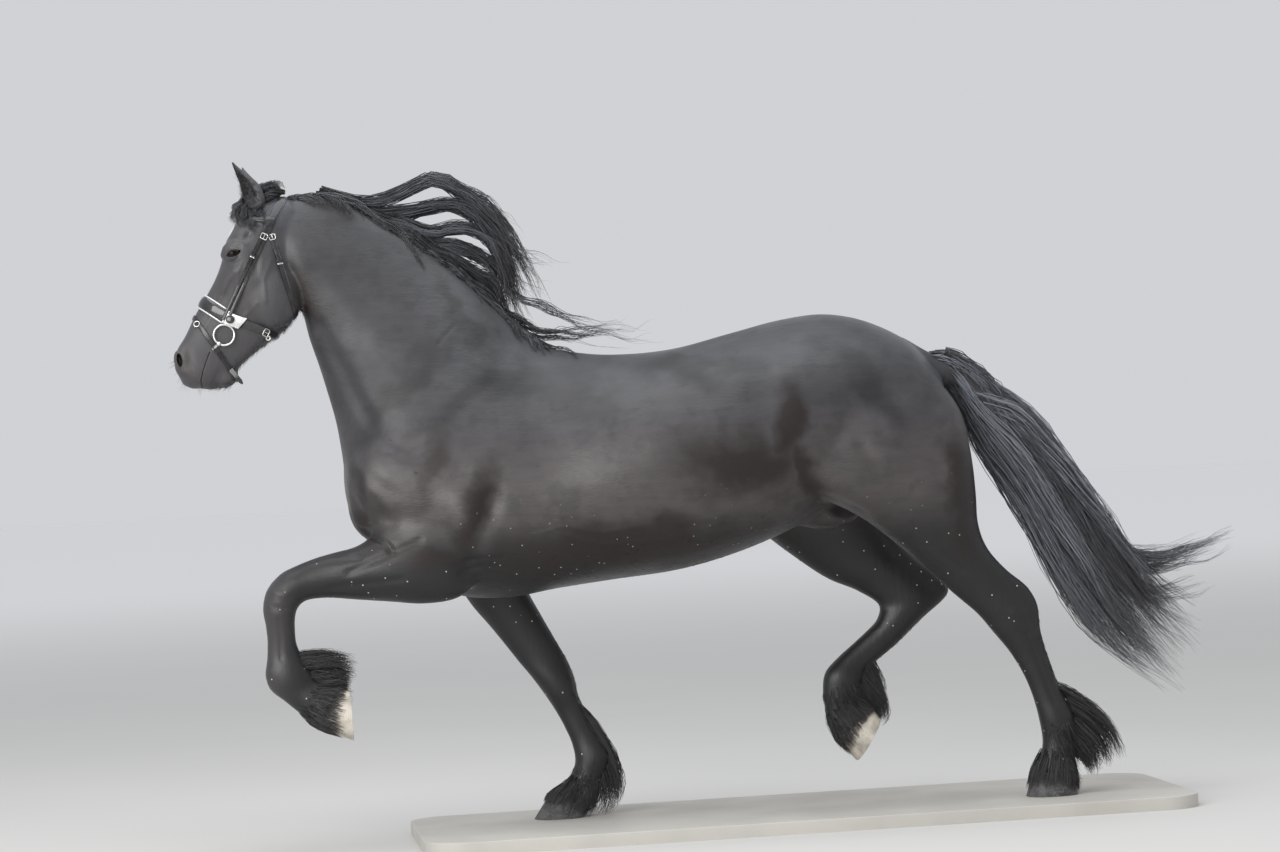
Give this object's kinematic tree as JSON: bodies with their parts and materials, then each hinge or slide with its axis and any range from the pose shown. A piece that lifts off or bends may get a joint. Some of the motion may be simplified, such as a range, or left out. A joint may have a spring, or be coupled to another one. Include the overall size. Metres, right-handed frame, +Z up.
{
  "type": "friesian horse",
  "caption": "black Friesian mare at the trot as a still life-size model, with flowing mane, tail and feathered legs, wearing a bridle, on a flat base",
  "frame": {"origin": "the middle of the flat base's underside", "axes": "+Z is up; the mare faces -X and her near (left) side is -Y"},
  "size_m": [3.3129, 0.86, 2.1007],
  "materials": {
    "coat": "short glossy black hair",
    "long_hair": "long black hair with a soft sheen",
    "pale_horn": "pale hoof horn",
    "dark_horn": "dusty grey hoof horn",
    "eyeball": "wet gloss",
    "leather": "smooth glossy black",
    "silver": "polished",
    "base": "plain matt"
  },
  "bodies": {
    "root": {"bit_far": "silver", "bit_near": "silver", "browband": "leather", "ear_far": "coat", "ear_near": "coat", "eye_far": "eyeball", "eye_near": "eyeball", "flash_strap": "leather", "foreleg_far_lower": "coat", "foreleg_far_upper": "coat", "foreleg_near_lower": "coat", "foreleg_near_upper": "coat", "forelock": "long_hair", "head": "coat", "headstall": "leather", "hindleg_far_lower": "coat", "hindleg_far_upper": "coat", "hindleg_near_lower": "coat", "hindleg_near_upper": "coat", "hoof_fore_far": "dark_horn", "hoof_fore_near": "pale_horn", "hoof_hind_far": "pale_horn", "hoof_hind_near": "dark_horn", "mane": "long_hair", "neck": "coat", "noseband": "leather", "stand_base": "base", "tail": "long_hair", "tail_wisps": "long_hair", "throatlatch": "leather", "torso": "coat"}
  },
  "joints": []
}
